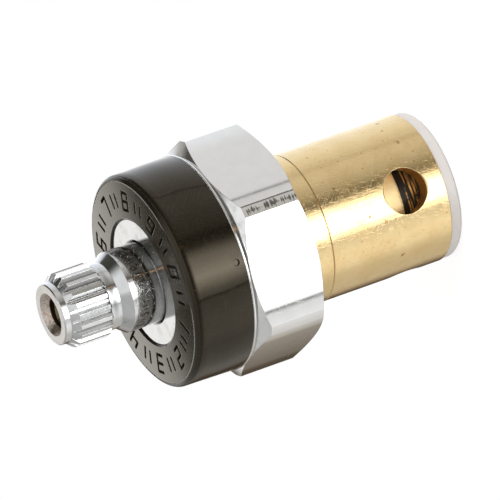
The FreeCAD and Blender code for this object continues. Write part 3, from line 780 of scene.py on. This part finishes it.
@dataclass(frozen=True)
class CeramicFinish(Finish):
    """Dark lapped ceramic with brown streaks on its lower part, partly water stain and partly a painted
    reflection of the brass.

    Attributes:
        stain_and_reflection_colour: The colour of the streaks, water stain and painted reflection.
        streak_top: Height under which they begin.
    """

    stain_and_reflection_colour: Colour
    streak_top: float

    def dress(self, bench: Bench) -> None:
        """Gives the discs their tone, grain and brown streaks, partly water stain and partly painted
        reflection.

        Args:
            bench: The material's bench.
        """
        tone = bench.layer(Effect.CLOUDS, size_mm=1.4, contrast=2.0)
        grain = bench.layer(Effect.CLOUDS, size_mm=0.08, contrast=1.5)
        streaks = bench.layer(Effect.STREAKS, width_mm=4.0, length_mm=0.28)
        low = bench.between(bench.place["Height"], self.streak_top, self.streak_top - 0.2)
        stain_and_reflection = bench.times(bench.between(streaks, 0.46, 0.64), low)
        stain_and_reflection = bench.times(stain_and_reflection, bench.between(tone, 0.28, 0.50))
        bench.tint(tone, (0.022, 0.018, 0.016), 0.6)
        # painted reflection and water stain: brown, partly metallic streaks on the lower part of the discs
        bench.tint(stain_and_reflection, self.stain_and_reflection_colour)
        bench.fix(Metallic=bench.times(stain_and_reflection, 0.7), Specular_IOR_Level=0.09)
        bench.rough = bench.between(grain, 0.1, 0.9, self.roughness, self.roughness + 0.05)
        bench.roughen((low, 0.08))
        bench.carve((grain, 0.0003), (bench.times(streaks, low), 0.03))


@dataclass
class Dresser:
    """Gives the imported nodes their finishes.

    Attributes:
        nodes: The frame's nodes by name.
        finishes: The material of each slot.
    """

    nodes: Dict[str, bpy.types.Object]
    finishes: Dict[Slot, bpy.types.Material]

    def dress(self, names: Sequence[str], slot: Slot) -> None:
        """Puts one finish on several nodes.

        Args:
            names: The nodes.
            slot: The slot whose finish they take.
        """
        for name in names:
            node = self.nodes[name]
            for place in node.material_slots:
                place.material = self.finishes[slot]
            if not node.material_slots:
                node.data.materials.append(self.finishes[slot])
            LOG.info("%s dressed with %s", name, slot.value)


@dataclass
class Spindle:
    """The stem that turns, with the thread in its screw hole. Sizes in millimetres.

    Attributes:
        hole_radius: Radius of the screw hole.
        crest_radius: Radius at the thread's crests.
        pitch: Rise of the thread in one turn.
        foot: Height where the thread begins.
        top: Height where the thread runs out under the countersink.
        steps: Steps of the helix in one turn.
        run_out: Part of a turn in which the thread fades at each end.
        flank_share: Half the ridge's width at its root, as a share of the pitch.
        crest_half_width: Half its width at the crest.
        sunk: How far its root lies inside the wall of the hole.
    """

    hole_radius: float = 1.95
    crest_radius: float = 1.60
    pitch: float = 1.058
    foot: float = 42.6
    top: float = 51.64
    steps: int = 40
    run_out: float = 0.15
    flank_share: float = 0.42
    crest_half_width: float = 0.07
    sunk: float = 0.03

    def thread(self, finish: bpy.types.Material) -> bpy.types.Object:
        """Builds the thread's ridge, which stands on the wall of the hole.

        Args:
            finish: The material of the ridge.

        Returns:
            The ridge.
        """
        half = self.pitch * self.flank_share
        root, tip = self.hole_radius + self.sunk, self.crest_half_width
        total = int((self.top - self.foot - 2 * half) / self.pitch * self.steps)
        vertices: List[Place] = []
        faces: List[Tuple[int, ...]] = []
        for step in range(total + 1):
            angle = 2 * math.pi * step / self.steps
            middle = self.foot + half + self.pitch * step / self.steps
            fade = min(1.0, step / (self.run_out * self.steps), (total - step) / (self.run_out * self.steps))
            crest = root - (root - self.crest_radius) * fade
            for radius, lift in ((root, -half), (crest, -tip), (crest, tip), (root, half)):
                vertices.append((radius * math.cos(angle) * MM, radius * math.sin(angle) * MM,
                                 (middle + lift) * MM))
        for step in range(total):
            here, ahead = 4 * step, 4 * (step + 1)
            for side in range(3):
                faces.append((here + side, here + side + 1, ahead + side + 1, ahead + side))
        mesh = bpy.data.meshes.new("screw_thread")
        mesh.from_pydata(vertices, [], faces)
        mesh.materials.append(finish)
        mesh.update()
        ridge = bpy.data.objects.new("screw_thread", mesh)
        bpy.context.scene.collection.objects.link(ridge)
        return ridge

    def build(self, dresser: Dresser) -> None:
        """Dresses the stem's nodes and adds the thread.

        Args:
            dresser: Holds the nodes and finishes.
        """
        dresser.dress(["spindle"], Slot.CHROME_STEM)
        dresser.dress(["spindle_o_ring_upper", "spindle_o_ring_lower"], Slot.BLACK_RUBBER)
        dresser.dress(["retaining_clip", "drive_pin"], Slot.STEEL)
        ridge = self.thread(dresser.finishes[Slot.CHROME_STEM])
        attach(ridge, "stem")
        LOG.info("screw_thread rides on stem")


@dataclass
class BonnetNut:
    """The hexagon nut with its black index ring."""

    def build(self, dresser: Dresser) -> None:
        """Dresses the nut's nodes."""
        dresser.dress(["bonnet_nut"], Slot.CHROME_NUT)
        dresser.dress(["index_ring"], Slot.BLACK_RING)


@dataclass
class Cartridge:
    """The brass body with its seals and discs."""

    def build(self, dresser: Dresser) -> None:
        """Dresses the cartridge's nodes.

        Args:
            dresser: Holds the nodes and finishes.
        """
        dresser.dress(["housing", "barrel", "disc_carrier"], Slot.BRASS)
        dresser.dress(["base_seal"], Slot.WHITE_SEAL)
        dresser.dress(["fixed_disc", "moving_disc"], Slot.CERAMIC)
        dresser.dress(["seal_support_ring", "stop_pin", "clip_washer"], Slot.STEEL)
        dresser.dress(["thrust_washer", "slip_washer"], Slot.SLIDE_PLASTIC)
        dresser.dress(["housing_o_ring", "bonnet_gasket"], Slot.BLACK_RUBBER)


def finishes() -> Dict[Slot, bpy.types.Material]:
    """Builds the material of each slot.

    Returns:
        The materials by slot.
    """
    recipes: List[Finish] = [
        BrassFinish(
            Slot.BRASS, (0.90, 0.71, 0.40), 0.16, 0.09, deep_colour=(0.78, 0.55, 0.24),
            spot_and_shade_colour=(0.34, 0.17, 0.05), speck_colour=(0.76, 0.38, 0.07), inner_colour=(0.42, 0.34, 0.20),
            inner_radius=7.4, skin_radius=9.4, pale_height=6.6),
        NutChromeFinish(
            Slot.CHROME_NUT, (0.87, 0.87, 0.865), 0.02, 0.08, land_radius=15.12, torn_turn=-1.31,
            torn_reach=0.25, crown=0.10, flat_half_width=6.99, buffed_share=0.62, edge_fall=1.1),
        StemChromeFinish(
            Slot.CHROME_STEM, (0.72, 0.73, 0.74), 0.04, 0.07, bore_radius=2.72, bore_foot=41.0,
            mouth_foot=51.64, journal_top=43.7, collar_foot=45.0, teeth_foot=46.1,
            bore_colour=(0.25, 0.21, 0.14), bare_colour=(0.66, 0.60, 0.54)),
        RingFinish(
            Slot.BLACK_RING, (0.005, 0.004, 0.002), 0.045, 0.10, face_height=39.85, face_roughness=0.22,
            mark_depth=0.30, crown=0.55, crown_radius=10.0, front_fall=1.7, rear_fall=4.4),
        SealFinish(Slot.WHITE_SEAL, (0.74, 0.705, 0.68), 0.42, 0.20, deep_colour=(0.68, 0.63, 0.60)),
        CeramicFinish(
            Slot.CERAMIC, (0.022, 0.015, 0.010), 0.22, 0.05, stain_and_reflection_colour=(0.62, 0.33, 0.10), streak_top=5.9),
        PlainPartFinish(
            Slot.STEEL, (0.56, 0.56, 0.55), 0.24, 0.05, second_colour=(0.42, 0.41, 0.40), metallic=1.0,
            lines_per_mm=6.0, line_depth=0.001, spot_amount=0.1),
        PlainPartFinish(
            Slot.SLIDE_PLASTIC, (0.74, 0.72, 0.65), 0.45, 0.08, second_colour=(0.62, 0.59, 0.50),
            metallic=0.0, lines_per_mm=2.0, line_depth=0.002, spot_amount=0.15),
        PlainPartFinish(
            Slot.BLACK_RUBBER, (0.028, 0.028, 0.028), 0.5, 0.10, second_colour=(0.05, 0.05, 0.048),
            metallic=0.0, lines_per_mm=1.5, line_depth=0.003, spot_amount=0.25),
    ]
    return {recipe.slot: recipe.material() for recipe in recipes}


@dataclass
class Studio:
    """Floor, lamps and surroundings. Sizes in millimetres.

    Attributes:
        floor_reach: Half the side of the floor.
        floor_tone: Colour of the lit floor.
        shadow_start: Radius from which the floor's shadow begins to fade.
        shadow_reach: Radius where it has faded to plain white.
        glow_share: How much of the floor near the part is plain white instead of lit.
        glow_level: Strength of that white, which makes up for what the lit share lacks.
        plain_level: Strength of the light from all sides on matt surfaces.
        nadir: Tone of the surroundings far below the horizon.
        top_card: Tone of the card above the part.
        side_card: Tone of the card beside it, towards its -X side.
        gap_tone: Tone of the gap between the top card and the white sweep behind the part.
        gap_turn: Middle of that gap, in turns from +Y.
        gap_reach: How far round the gap reaches to each side, in turns.
        horizon_rise: How much higher the low cards reach a little past the part's +Y side.
        aim_height: Height that the lamps face.
    """

    floor_reach: float = 3000.0
    floor_tone: Colour = (0.86, 0.86, 0.86)
    shadow_start: float = 14.0
    shadow_reach: float = 60.0
    glow_share: float = 0.55
    glow_level: float = 1.35
    plain_level: float = 0.60
    nadir: Colour = (0.36, 0.31, 0.25)
    top_card: Colour = (0.95, 0.95, 0.95)
    side_card: Colour = (0.56, 0.56, 0.55)
    gap_tone: Colour = (0.035, 0.032, 0.026)
    gap_turn: float = 0.02
    gap_reach: float = 0.07
    horizon_rise: float = 0.20
    aim_height: float = 25.0

    def floor(self) -> None:
        """Lays the pale floor, which fades to plain white away from the part."""
        reach = self.floor_reach * MM
        mesh = bpy.data.meshes.new("floor")
        mesh.from_pydata([(-reach, -reach, 0), (reach, -reach, 0), (reach, reach, 0), (-reach, reach, 0)], [],
                         [(0, 1, 2, 3)])
        material = bpy.data.materials.new("pale_floor")
        material.use_nodes = True
        desk = Desk(material.node_tree)
        radius = desk.where()["Radius"]
        matt = desk.put("ShaderNodeBsdfDiffuse", {"Color": self.floor_tone})
        level = desk.between(radius, self.shadow_start, self.shadow_reach, self.glow_level, 1.0)
        glow = desk.put("ShaderNodeEmission", {"Color": (1.0, 1.0, 1.0), "Strength": level})
        share = desk.between(radius, self.shadow_start, self.shadow_reach, self.glow_share, 1.0)
        share = desk.times(share, desk.put("ShaderNodeLightPath").outputs["Is Camera Ray"])
        blend = desk.put("ShaderNodeMixShader", {0: share, 1: matt.outputs[0], 2: glow.outputs[0]})
        end = desk.put("ShaderNodeOutputMaterial")
        desk.join(end.inputs["Surface"], blend.outputs[0])
        mesh.materials.append(material)
        floor = bpy.data.objects.new("floor", mesh)
        bpy.context.scene.collection.objects.link(floor)
        floor.visible_glossy = False

    def lamp(self, name: str, place: Place, size: float, power: float) -> None:
        """Hangs one soft lamp that faces the part.

        Args:
            name: The lamp's name.
            place: Where it hangs, in metres.
            size: Side of its square, in metres.
            power: Its power in watts.
        """
        data = bpy.data.lights.new(name, "AREA")
        data.size = size
        data.energy = power
        lamp = bpy.data.objects.new(name, data)
        lamp.location = place
        aim = Vector((0.0, 0.0, self.aim_height * MM)) - Vector(place)
        lamp.rotation_euler = aim.to_track_quat("-Z", "Y").to_euler()
        lamp.visible_glossy = False
        bpy.context.scene.collection.objects.link(lamp)

    def surroundings(self) -> None:
        """Paints what shiny surfaces see: white cards with darker gaps between them."""
        world = bpy.data.worlds.new("studio")
        bpy.context.scene.world = world
        world.use_nodes = True
        desk = Desk(world.node_tree)
        place = desk.put("ShaderNodeTexCoord")
        x, y, z = desk.split(place.outputs["Generated"])
        turn = desk.over(desk.math("ARCTAN2", x, y), 2 * math.pi)
        around = desk.math("FRACT", turn)
        low = desk.ramp(around, [(position / FULL_TURN, tone) for position, tone in LOW_CARDS], smooth=False)
        low = desk.mix(desk.between(z, -0.55, -0.85), low, self.nadir)
        high = desk.ramp(around, [(position / FULL_TURN, tone) for position, tone in HIGH_CARDS])
        below = desk.times(desk.between(z, 0.42, 0.58), desk.between(around, 0.52, 0.60))
        high = desk.mix(below, high, self.side_card)
        beside = desk.times(desk.between(z, 0.55, 0.72), desk.window(around, (0.22, 0.36), (0.60, 0.52)))
        high = desk.mix(desk.math("MAXIMUM", beside, desk.between(z, 0.82, 0.96)), high, self.top_card)
        past = desk.math("FRACT", desk.plus(turn, 0.5 - self.gap_turn))
        aside = desk.math("ABSOLUTE", desk.minus(past, 0.5))
        gap = desk.times(desk.window(z, (0.39, 0.47), (0.93, 0.80)),
                         desk.between(aside, self.gap_reach + 0.03, self.gap_reach))
        high = desk.mix(gap, high, self.gap_tone)
        raised = desk.window(around, (0.03, 0.07), (0.16, 0.12))
        level = desk.minus(z, desk.times(raised, self.horizon_rise))
        pattern = desk.mix(desk.between(level, -0.16, 0.16), low, high)
        path = desk.put("ShaderNodeLightPath")
        seen = desk.math("MAXIMUM", path.outputs["Is Camera Ray"], path.outputs["Is Transmission Ray"])
        plain, white, cards = (
            desk.put("ShaderNodeBackground", {"Color": colour, "Strength": strength}).outputs[0]
            for colour, strength in (((1, 1, 1), self.plain_level), ((1, 1, 1), 1.0), (pattern, 1.0)))
        shiny = desk.put("ShaderNodeMixShader", {0: path.outputs["Is Glossy Ray"], 1: plain, 2: cards})
        whole = desk.put("ShaderNodeMixShader", {0: seen, 1: shiny.outputs[0], 2: white})
        end = desk.put("ShaderNodeOutputWorld")
        desk.join(end.inputs["Surface"], whole.outputs[0])

    def build(self) -> None:
        """Sets up floor, surroundings and lamps."""
        self.floor()
        self.surroundings()
        self.lamp("key_lamp", (0.45, -0.35, 0.30), 0.35, 2.0)
        self.lamp("fill_lamp", (-0.35, -0.50, 0.20), 0.40, 0.8)
        self.lamp("back_lamp", (0.10, 0.55, 0.40), 0.40, 1.0)


# A full turn in the card tables below, whose positions are steps of two degrees round from +Y
FULL_TURN = 180

# Tones of the surroundings just below the horizon
LOW_CARDS = (
    (0.0, (1.50, 1.50, 1.50)), (12.0, (1.17, 1.21, 1.28)), (24.0, (1.02, 1.06, 1.14)),
    (34.0, (0.95, 0.97, 0.99)), (44.0, (0.78, 0.77, 0.76)), (47.6, (0.76, 0.74, 0.72)),
    (48.3, (0.20, 0.20, 0.19)), (49.4, (0.72, 0.70, 0.68)), (57.0, (0.76, 0.74, 0.72)),
    (66.0, (0.58, 0.56, 0.52)), (73.0, (0.40, 0.38, 0.34)), (77.5, (0.10, 0.09, 0.07)),
    (81.5, (0.40, 0.38, 0.35)), (84.5, (1.50, 1.48, 1.45)), (87.0, (2.60, 2.58, 2.55)),
    (92.0, (3.90, 3.88, 3.85)), (97.0, (5.20, 5.20, 5.20)), (101.0, (3.40, 3.40, 3.40)),
    (105.0, (1.60, 1.60, 1.60)), (107.4, (1.30, 1.30, 1.30)), (108.3, (0.26, 0.25, 0.24)),
    (109.4, (0.82, 0.82, 0.81)), (120.0, (1.10, 1.10, 1.09)), (129.0, (1.02, 1.00, 0.97)),
    (137.0, (0.70, 0.68, 0.65)), (148.0, (0.62, 0.60, 0.56)), (157.0, (0.62, 0.59, 0.54)),
    (162.0, (0.46, 0.42, 0.36)), (167.0, (0.15, 0.12, 0.09)), (171.0, (0.08, 0.06, 0.04)),
    (176.0, (0.16, 0.13, 0.10)), (179.9, (0.60, 0.59, 0.58)))

# The same above the horizon: a white sweep behind the part and a dark room behind the camera
HIGH_CARDS = (
    (0.0, (0.98, 0.97, 0.95)), (5.0, (0.95, 0.94, 0.92)), (9.0, (0.85, 0.84, 0.82)),
    (13.0, (0.66, 0.65, 0.63)), (16.5, (0.40, 0.39, 0.37)), (20.0, (0.10, 0.09, 0.08)),
    (40.0, (0.06, 0.06, 0.05)), (52.0, (0.09, 0.09, 0.08)), (60.0, (0.15, 0.15, 0.14)),
    (74.0, (0.22, 0.22, 0.20)), (78.0, (0.07, 0.07, 0.06)), (79.5, (0.90, 0.50, 0.26)),
    (81.0, (0.06, 0.06, 0.05)), (87.0, (0.16, 0.16, 0.16)), (91.0, (0.14, 0.14, 0.14)),
    (97.0, (0.17, 0.17, 0.16)), (105.0, (0.25, 0.25, 0.24)), (120.0, (0.32, 0.32, 0.31)),
    (135.0, (0.40, 0.40, 0.38)), (155.0, (0.42, 0.42, 0.40)), (163.0, (0.48, 0.47, 0.45)),
    (171.0, (0.92, 0.91, 0.89)), (179.9, (0.98, 0.97, 0.95)))


@dataclass
class PhotoCamera:
    """The camera at the photograph's viewing angle.

    Attributes:
        axis_angle: Degrees between the view direction and the part's axis.
        axis_slope: Degrees by which the part's axis slopes in the image.
        pixels_per_mm: Scale of the photograph.
        distance: Distance to the part, in metres.
        anchor_height: Height of a known point on the axis, in millimetres.
        anchor_pixel: Where that point lies in the photograph.
    """

    axis_angle: float = 67.4
    axis_slope: float = 19.3
    pixels_per_mm: float = 8.2
    distance: float = 0.9
    anchor_height: float = 39.6
    anchor_pixel: Tuple[float, float] = (144.4, 282.2)

    def build(self) -> None:
        """Places the camera."""
        tilt, slope = math.radians(self.axis_angle), math.radians(self.axis_slope)
        level, drop = math.sin(tilt), math.cos(tilt)
        ahead = Vector((0.0, level, -drop))
        right = Vector((-math.sin(slope), -drop * math.cos(slope), -level * math.cos(slope)))
        up = Vector((math.cos(slope), -drop * math.sin(slope), -level * math.sin(slope)))
        middle = PHOTO_PIXELS / 2
        step = MM / self.pixels_per_mm
        target = Vector((0.0, 0.0, self.anchor_height * MM))
        target += right * (middle - self.anchor_pixel[0]) * step + up * (self.anchor_pixel[1] - middle) * step
        data = bpy.data.cameras.new("camera")
        data.sensor_width = 36.0
        data.lens = data.sensor_width * self.pixels_per_mm / MM * self.distance / PHOTO_PIXELS
        data.clip_start = 0.01
        camera = bpy.data.objects.new("camera", data)
        turn = Matrix((right, up, -ahead)).transposed()
        camera.matrix_world = Matrix.Translation(target - ahead * self.distance) @ turn.to_4x4()
        bpy.context.scene.collection.objects.link(camera)
        bpy.context.scene.camera = camera


def main() -> None:
    """Builds the dressed part, the studio and the camera."""
    logging.basicConfig(level=logging.INFO, format="%(name)s: %(message)s")
    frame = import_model()
    bpy.context.scene.view_settings.view_transform = "Standard"
    dresser = Dresser(frame["nodes"], finishes())
    Cartridge().build(dresser)
    BonnetNut().build(dresser)
    Spindle().build(dresser)
    Studio().build()
    PhotoCamera().build()


if __name__ == "__main__":
    main()
